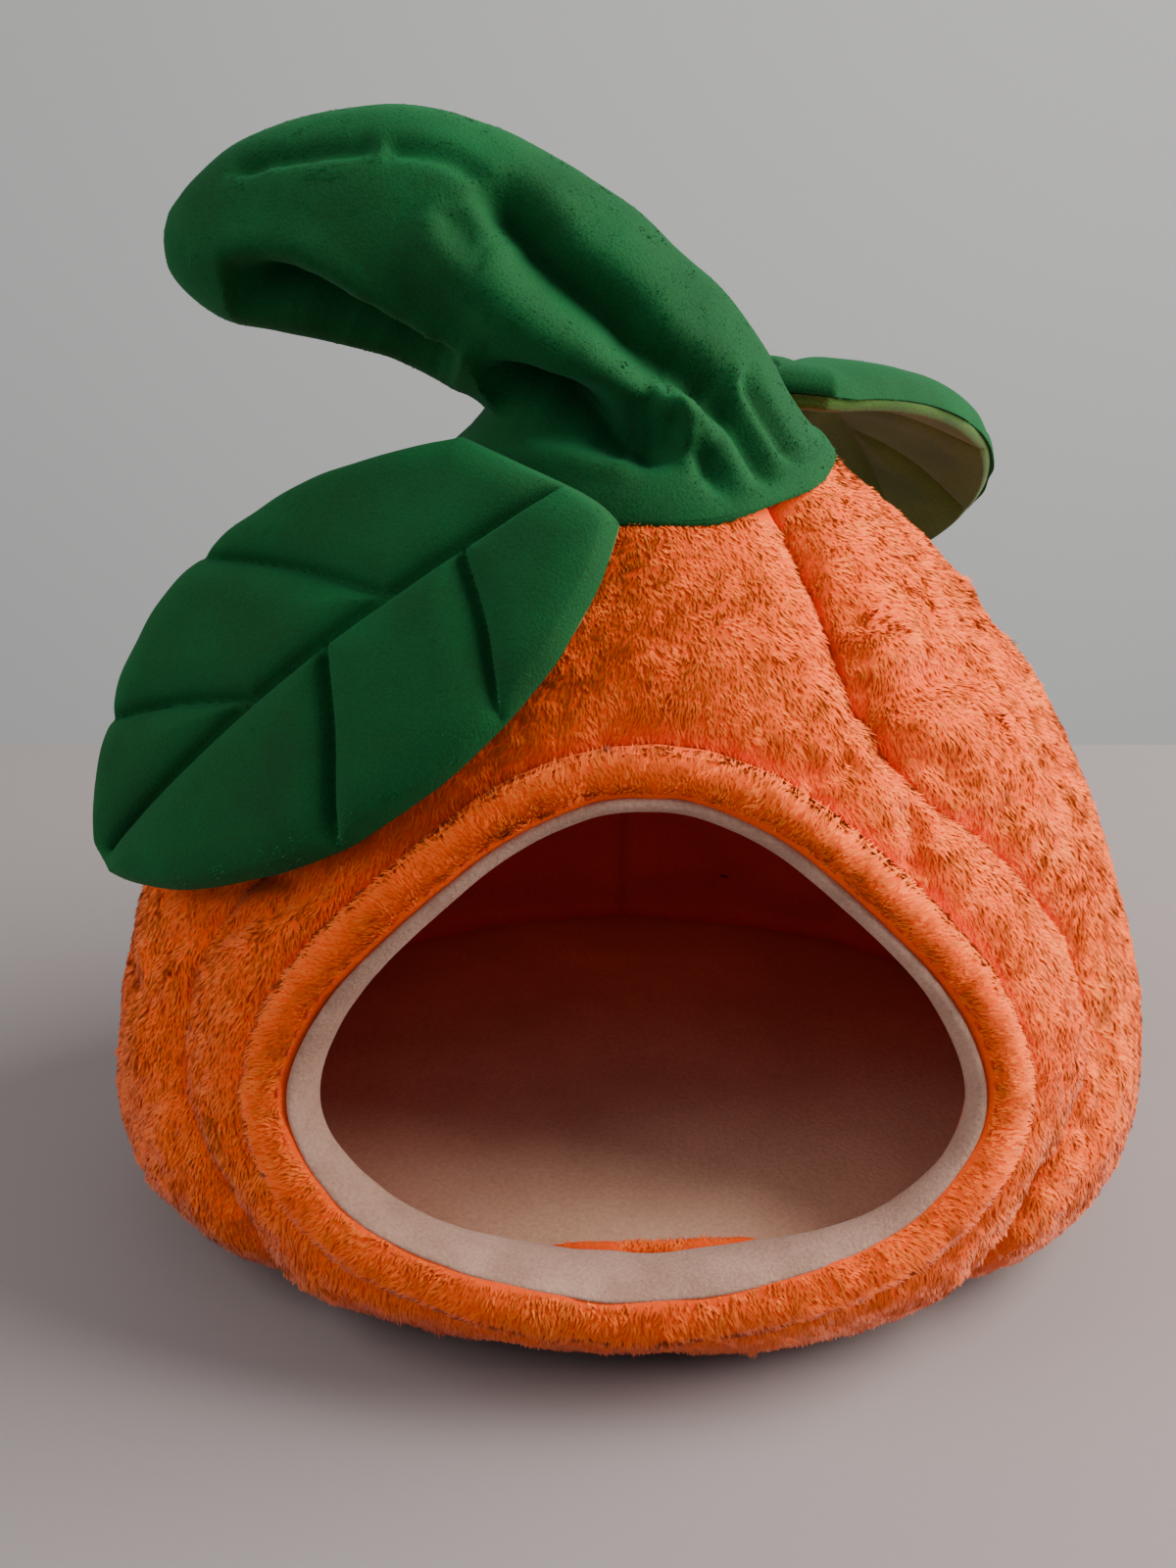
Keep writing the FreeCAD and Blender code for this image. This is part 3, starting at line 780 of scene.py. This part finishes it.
# crown and stem: one sleeve of green plush, flopping over to the left
stemSet = {
    "hemRadius": (44.5, 41.0),  # across and front to back
    "hemCentre": (2, -5),
    # upper and lower outline as (x, z), and half the depth
    "rings": [((43, 194), (-36, 194), 36), ((36, 203), (-31.5, 199), 31.5), ((30, 213), (-33, 202), 28.5),
              ((21, 226), (-36, 204), 27), ((10, 236), (-39.5, 205), 26), ((-1, 245), (-43.5, 206.5), 25.5),
              ((-14, 253), (-48.5, 208.5), 25), ((-31, 261), (-56, 211), 24), ((-52, 266), (-66, 214), 22.5),
              ((-73, 263.5), (-78, 217), 20), ((-87, 258), (-88.5, 219.5), 17),
              ((-95.5, 252), (-96.5, 224), 13), ((-101, 245), (-101.5, 229.5), 7.5),
              ((-102.8, 239.5), (-103, 235), 2.5)],
    "skin": 1.4,
    "rows": 150,
    "columns": 150,
    # folds of the sleeve as lines of (x, y, z), depth, width, and the share of the line that fades out
    "folds": [
        ([(-88, -16, 255), (-73, -17, 256), (-53, -18, 258)], 3.4, 2.6, 0.12),
        ([(-53, -20, 258), (-47, -22, 261), (-38, -24, 260), (-29, -25, 255)], 3.0, 2.8),
        ([(-30, -26, 256), (-23, -27, 246), (-16, -28, 235), (-4, -30, 226), (6, -31, 216), (17, -30, 210),
          (25, -26, 208)], 10, 5.6, 0.12),
        ([(-46, -28, 246), (-38, -29, 238), (-28, -30, 228), (-14, -32, 218), (2, -34, 211), (12, -36, 207)],
         -5.2, 7.5),
        ([(-40, -26, 250), (-37, -28, 243), (-31, -29, 236)], 3.4, 4.0, 0.4),
        ([(-88, -18, 229), (-72, -20, 228), (-60, -22, 220), (-50, -22, 212), (-40, -24, 208)], 13.5, 7.0),
        ([(-94, -14, 238), (-73, -24, 238), (-60, -27, 230), (-48, -28, 220), (-34, -30, 213)], -2.4, 5.0),
        ([(-34, -24, 205), (-22, -31, 206), (-8, -34, 204), (3, -36, 200), (12, -36, 202)], 15, 5.0, 0.15),
        ([(4, -36, 208), (13, -37, 208), (19, -35, 206)], -8, 5.5, 0.4),
        ([(21, -29, 209), (25, -30, 200), (28, -31, 188)], 4.5, 3.2),
        ([(28, -22, 213), (32, -23, 202), (36, -25, 191)], 3.6, 3.0),
        ([(14, -36, 200), (18, -38, 192), (22, -39, 185)], 4.5, 2.8),
        ([(-28, -30, 200), (-14, -36, 196), (2, -39, 194)], -2.0, 4.0),
        ([(-60, 12, 252), (-40, 16, 244), (-20, 18, 230), (0, 22, 214)], 5.5, 6.0),
        ([(20, 18, 214), (24, 24, 202), (26, 30, 190)], 3.6, 3.4),
        ([(-6, 26, 212), (-8, 30, 200), (-8, 34, 190)], 3.6, 3.4),
        ([(-26, 14, 210), (-30, 20, 200), (-34, 24, 190)], 3.6, 3.4),
    ],
}
stemBend = {"start": (0.001, -0.005, 0.197), "end": (-0.006, -0.005, 0.226)}


def hemRing(turn, grow, lift):
    # the hem lies on the orange crown, so its height follows the body
    x = stemSet["hemCentre"][0] + (stemSet["hemRadius"][0] + grow) * np.cos(turn)
    y = stemSet["hemCentre"][1] + (stemSet["hemRadius"][1] + grow) * np.sin(turn)
    heights = np.linspace(150, 189, 160)
    radius = bodyRadius(heights)
    z = np.full_like(x, 187.0)
    for _ in range(3):          # the crown leans, so settle the height in a few steps
        u = x - bodySet["leanX"] * z
        v = (y - bodySet["leanY"] * z - bodySet["shiftY"]) / bodySet["depthRatio"]
        z = np.interp(-np.hypot(u, v), -radius, heights)
    return np.stack([x, y, z + lift], -1)


def buildStem():
    turn = fullTurn(stemSet["columns"])
    flutter = 0.8 * np.sin(turn * 9) + 0.6 * np.sin(turn * 5 + 1)
    rings = [hemRing(turn, -1.5, -1.0), hemRing(turn, 1.0 + flutter * 0.5, 0.4), hemRing(turn, -1.0, 3.0)]
    for upper, lower, deep in stemSet["rings"]:
        y = stemSet["hemCentre"][1]
        upper, lower = np.array([upper[0], y, upper[1]]), np.array([lower[0], y, lower[1]])
        across = (upper - lower) / 2
        back = np.array([0, deep, 0])
        rings.append((upper + lower) / 2 + np.cos(turn)[:, None] * across + np.sin(turn)[:, None] * back)
    rings = np.array(rings)
    base = smoothLine(rings.reshape(len(rings), -1), stemSet["rows"])
    base = base.reshape(stemSet["rows"], stemSet["columns"], 3)
    normals = gridNormals(base, True)
    if ((base[60] - base[60].mean(0)) * normals[60]).sum() < 0:
        normals = -normals
    rowShare = np.linspace(0, 1, stemSet["rows"])[:, None]
    ends = np.clip(np.minimum(rowShare / 0.07, (1 - rowShare) / 0.05), 0, 1)
    offset = -foldDepth(base, stemSet["folds"], base)
    offset += latticeNoise(base, 30, 81) * 1.6 + latticeNoise(base, 11, 83) * 0.6
    aboveHem = np.clip((base[..., 2] - 184) / 10, 0.12, 1)      # the folds fade out at the hem
    outer = base + normals * (offset * ends * aboveHem)[..., None]
    inner = outer - normals * stemSet["skin"] * np.clip((1 - rowShare) / 0.06, 0.05, 1)[..., None]
    piece = shellMesh("stem_sleeve", outer, inner, [greenSkin], True, (-1,))
    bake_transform(piece)
    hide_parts("stem_cover", "stem_filling", "collar_cover", "collar_filling")
    pileJobs.append(("stem_pile", ["cave", "stem", stemBend], outer, True, greenPile))
    print("stem built")


buildStem()


# quilted leaves
leafSet = {
    "length": 127.0,
    "halfWidth": 41.5,
    "widest": 0.45,
    "tip": 1.043,               # where the outline ends, as a share of the length
    "edge": 1.7,                # half thickness at the seam
    "puff": 5.4,                # height of a full cell over the middle layer
    "thread": 1.1,              # how far the sewing pulls into the veins
    "veins": [(1, 0.13, 0.25), (1, 0.41, 0.60), (-1, 0.27, 0.52), (-1, 0.57, 0.86)],    # side, start, end
    "rows": 210,
    "columns": 150,
}
leaves = {
    "front_leaf": {"base": (-24.5, -44.8, 192.5), "along": (-0.707, -0.02, -0.707),
                   "across": (0.481, -0.746, -0.46), "rise": 8, "farSag": -2, "nearSag": 5,
                   "root": -0.035, "rootSkew": -0.055},
    "back_leaf": {"base": (41.7, 31.4, 195), "along": (0.261, 0.854, -0.45), "across": (-0.956, 0.292, 0.0),
                  "rise": 13, "farSag": 9, "nearSag": 9, "root": -0.05, "rootSkew": 0.0},
}


def leafHalfWidth(t):
    reach = np.where(t < leafSet["widest"], 0.62, 0.60)
    u = np.clip((t - leafSet["widest"]) / reach, -0.999, 0.999)
    return leafSet["halfWidth"] * (1 - u * u) ** 0.75


def leafMiddle(t):
    return 9 - 17 * np.maximum(t, 0) ** 1.3


def leafAxes(leaf):
    along = unit(np.array(leaf["along"]))
    across = np.array(leaf["across"])
    across = unit(across - along * (across @ along))
    return along, across, np.cross(along, across)


def leafPoint(leaf, t, b, lift):
    # t along the leaf, b across it in millimetres, lift above its middle layer
    along, across, up = leafAxes(leaf)
    arch = leaf["rise"] * (1 - ((t - leafSet["widest"]) / leafSet["widest"]) ** 2)
    arch = np.where(t < 0, -9.0 * np.abs(t) / 0.1 * 0.4, arch)
    sag = np.where(b > 0, leaf["nearSag"], leaf["farSag"])
    drop = sag * (b / 43.5) ** 2
    return (np.array(leaf["base"]) + along * (t * leafSet["length"])[..., None] + across * b[..., None]
            + up * (arch - drop + lift)[..., None])


def veinGap(t, b):
    # distance in millimetres to the nearest sewn vein, in the leaf's own plane
    flat = np.stack([t * leafSet["length"], b, 0 * t], -1)
    middle = np.linspace(-0.1, 1.0, 24)
    lines = [np.stack([middle * leafSet["length"], leafMiddle(middle), 0 * middle], -1)]
    for side, start, end in leafSet["veins"]:
        first = [start * leafSet["length"], leafMiddle(start), 0]
        last = [end * leafSet["length"], leafMiddle(end) + side * leafHalfWidth(end), 0]
        bow = [(first[0] * 0.5 + last[0] * 0.5) - 2.0, first[1] * 0.5 + last[1] * 0.5, 0]
        lines.append(smoothLine([first, bow, last], 12))
    return np.minimum.reduce([distanceToLine(flat, line)[0] for line in lines])


def roundShoulder(gap, width):
    # 0 at the seam, rising steeply there and level at 1 beyond the width
    return np.sqrt(np.maximum(1 - (1 - np.clip(gap / width, 0, 1)) ** 2, 0))


def buildLeaf(name, leaf):
    run = np.linspace(0, 1, leafSet["rows"])[:, None]
    share = np.sin(np.linspace(-math.pi / 2, math.pi / 2, leafSet["columns"]))[None, :] + 0 * run
    start = leaf["root"] + leaf["rootSkew"] * share - 0.03 * (1 - share ** 2)
    t = start + (leafSet["tip"] - start) * run
    width = leafHalfWidth(t)
    wobble = 0.7 * latticeNoise(np.stack([t * 60, np.sign(share) * 9, 0 * t], -1), 4.0, 91)
    b = leafMiddle(t) + share * (width + wobble * np.abs(share) ** 4)
    edgeGap = np.minimum((1 - np.abs(share)) * width, (leafSet["tip"] - t) * leafSet["length"] * 0.8)
    edgeGap = np.minimum(edgeGap, (t - start) * leafSet["length"])
    gap = veinGap(t, b)
    cell = roundShoulder(gap, 9.5) * roundShoulder(edgeGap, 10)
    rim = np.clip(edgeGap / 1.6, 0, 1) ** 0.5
    place = leafPoint(leaf, t, b, 0 * t)
    lift = leafSet["edge"] * rim + leafSet["puff"] * cell + latticeNoise(place, 15, 95) * 0.5 * cell
    lift -= leafSet["thread"] * np.exp(-(gap / 1.2) ** 2) * np.clip(edgeGap / 6, 0, 1)
    under = leafSet["edge"] * rim + 0.45 * leafSet["puff"] * cell
    top = leafPoint(leaf, t, b, lift)
    seam = leafPoint(leaf, t, b, 0 * t - 0.15 * rim)
    along, _, up = leafAxes(leaf)
    bend = {"start": tuple((np.array(leaf["base"]) - along * 7) * mm),
            "end": tuple((np.array(leaf["base"]) + along * 9) * mm)}
    upper = shellMesh(name + "_top", top, seam, [greenSkin])
    inset = leafMiddle(t) + share * width * (1 - 0.9 / width)
    low = leafPoint(leaf, t, inset, 0 * t - 0.3)
    bottom = leafPoint(leaf, t, inset, -under - 0.3)
    lower = shellMesh(name + "_underside", low, bottom, [oliveSkin])
    for piece, slot, nodes in ((upper, "green_plush", ["_top_cover", "_wadding"]),
                               (lower, "olive_backing", ["_under_cover"])):
        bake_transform(piece)
        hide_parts(*[name + ending for ending in nodes])
    pileJobs.append((name + "_pile", ["cave", name, bend], top, False,
                     dict(greenPile, flow=tuple(along), density=1.1, length=0.9, outward=up)))
    worn = top[8:-4, -26:-5]        # the near edge gets paler pile: painted sheen of the brushed edge
    pileJobs.append((name + "_worn_edge", ["cave", name, bend], worn, False,
                     dict(greenPile, shades=paintedSheenShades, flow=tuple(along), density=0.5, length=1.3,
                          ruffle=0.6, outward=up)))


for leafName, leaf in leaves.items():
    buildLeaf(leafName, leaf)
print("leaves built")


# pile: short tapered tufts in several shades, grown on the finished covers

def samplePlaces(grid, wrap, options, random):
    if wrap:
        grid = np.concatenate([grid, grid[:, :1]], 1)
    a, b, c, d = grid[:-1, :-1], grid[:-1, 1:], grid[1:, 1:], grid[1:, :-1]
    area = 0.5 * np.linalg.norm(np.cross(c - a, d - b), axis=-1).ravel()
    count = int(min(area.sum() * options["density"], options["most"]) * pileShare)
    chosen = np.searchsorted(np.cumsum(area) / area.sum(), random.random(count))
    u, v = random.random((2, count, 1))
    a, b, c, d = [corner.reshape(-1, 3)[chosen] for corner in (a, b, c, d)]
    place = a * (1 - u) * (1 - v) + b * u * (1 - v) + c * u * v + d * (1 - u) * v
    return place, unit(np.cross(b - a + c - d, d - a + c - b))


def alongCloth(vectors, normal):
    return vectors - normal * (vectors * normal).sum(-1, keepdims=True)


def growPile(name, bodies, grid, wrap, options, seed):
    shades = options["shades"]
    random = np.random.default_rng(seed)
    place, normal = samplePlaces(grid, wrap, options, random)
    outward = options.get("outward", place - place.mean(0))
    if options.get("inward", (outward * normal).sum() < 0):
        normal = -normal
    if bodies == ["cave"]:      # none grows under the green hem of the crown
        across, deep = stemSet["hemRadius"]
        spread = ((place[:, 0] - stemSet["hemCentre"][0]) / (across - 1.5)) ** 2
        spread += ((place[:, 1] - stemSet["hemCentre"][1]) / (deep - 1.5)) ** 2
        clear = (spread > 1) | (place[:, 2] < 175)
        place, normal = place[clear], normal[clear]
    if options["flow"] == "out":
        flow = unit(place - rollSet["heart"])
    else:
        flow = np.array(options["flow"]) + 0 * place
    flow = unit(alongCloth(flow, normal))
    clump = options["clump"]
    ruffle = alongCloth(noiseVector(place, clump, 101) + 0.6 * noiseVector(place, clump * 0.45, 107), normal)
    sweep = alongCloth(noiseVector(place, options["patch"], 113), normal)
    lean = unit(normal * options["stand"] + flow * options["lay"] + ruffle * options["ruffle"] + sweep * 0.2)
    count = len(place)
    length = options["length"] * (0.75 + 0.5 * random.random((count, 1)))
    length = length * (1 + 0.25 * latticeNoise(place, clump * 1.5, 127))[:, None]
    side = unit(unit(np.cross(lean, normal)) + random.normal(size=(count, 3)) * 0.25)
    half = options["width"] * 0.5
    foot = place - normal * options["sink"]
    points = np.stack([foot + side * half, foot - side * half, foot - normal * half, foot + lean * length], 1)
    points[..., 2] = np.maximum(points[..., 2], 0.1)
    first = np.arange(count)[:, None, None] * 4
    faces = first + np.array([[0, 2, 1], [0, 1, 3], [1, 2, 3], [2, 0, 3]])[None, :, ::-1]
    tone = latticeNoise(place, options["patch"], 131) * 0.4 + random.normal(size=count) * 0.22
    tone = tone + 0.45 * latticeNoise(place, clump, 137)
    shade = np.clip(((tone + 1) / 2 * len(shades)).astype(int), 0, len(shades) - 1)
    # soft pile: the tufts take their light mostly from the cloth below them
    facing = unit(normal + ruffle * options["shading"] + sweep * 0.1)
    facing = np.repeat(facing[:, None], 4, 1)
    facing[:, 3] = unit(facing[:, 3] + 0.5 * lean)
    piece = meshObject(name, points.reshape(-1, 3), faces.reshape(-1, 3), shades, np.repeat(shade, 4),
                       normals=facing.reshape(-1, 3))
    if len(bodies) == 1:
        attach(piece, bodies[0])
    else:
        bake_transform(piece)


pileShare = 1.0
for number, job in enumerate(pileJobs):
    growPile(*job, seed=200 + number)
print("pile grown:", len(pileJobs), "pieces")


# floor, wall and light
stageSet = {"floor": (0.29, 0.255, 0.25), "wall": (0.50, 0.50, 0.49), "tableEdge": 0.30, "wallDistance": 1.4}


def paint(name, colour):
    return cloth(name, tuple(0.97 * c for c in colour), colour, grain=400, patch=3, bump=0.02, roughness=0.6,
                 sheen=0.0)


def buildStage():
    edge, back = stageSet["tableEdge"] * 1000, stageSet["wallDistance"] * 1000
    floor = meshObject("floor", [(-4000, -3000, 0), (4000, -3000, 0), (4000, edge, 0), (-4000, edge, 0)],
                       [[0, 1, 2, 3]], [paint("tableTop", stageSet["floor"])])
    corners = [(-4000, back, -3000), (4000, back, -3000), (4000, back, 3000), (-4000, back, 3000)]
    wall = meshObject("wall", corners, [[0, 1, 2, 3]], [paint("wallPaint", stageSet["wall"])])


roomSet = {"colour": (0.80, 0.84, 0.92), "strength": 0.42}
lightSet = {
    "window": {"place": (1.1, 0.0, 0.75), "target": (0, 0, 0.12), "size": 1.3, "power": 50,
               "colour": (1.0, 0.97, 0.92)},
    "fill": {"place": (-0.9, -0.3, 0.7), "target": (0, 0, 0.1), "size": 0.9, "power": 6.5,
             "colour": (1.0, 0.98, 0.96)},
    "glowThroughPlush": {"place": (0, 0.02, 0.15), "target": (0, 0.08, 0.03), "size": 0.06, "power": 0.006,
                         "colour": (1.0, 0.10, 0.02)},
}


def addLight(name, place, target, size, power, colour):
    data = bpy.data.lights.new(name, "AREA")
    data.shape = "DISK"
    data.size = size
    data.energy = power
    data.color = colour
    lamp = addObject(name, data)
    lamp.location = place
    lamp.rotation_euler = (Vector(target) - Vector(place)).to_track_quat("-Z", "Y").to_euler()


def buildLight():
    world = bpy.data.worlds.new("softRoom")
    world.use_nodes = True
    shader = world.node_tree.nodes["Background"]
    shader.inputs["Color"].default_value = (*roomSet["colour"], 1)
    shader.inputs["Strength"].default_value = roomSet["strength"]
    bpy.context.scene.world = world
    for name, light in lightSet.items():
        addLight(name, **light)


buildStage()
buildLight()
print("stage and light ready")
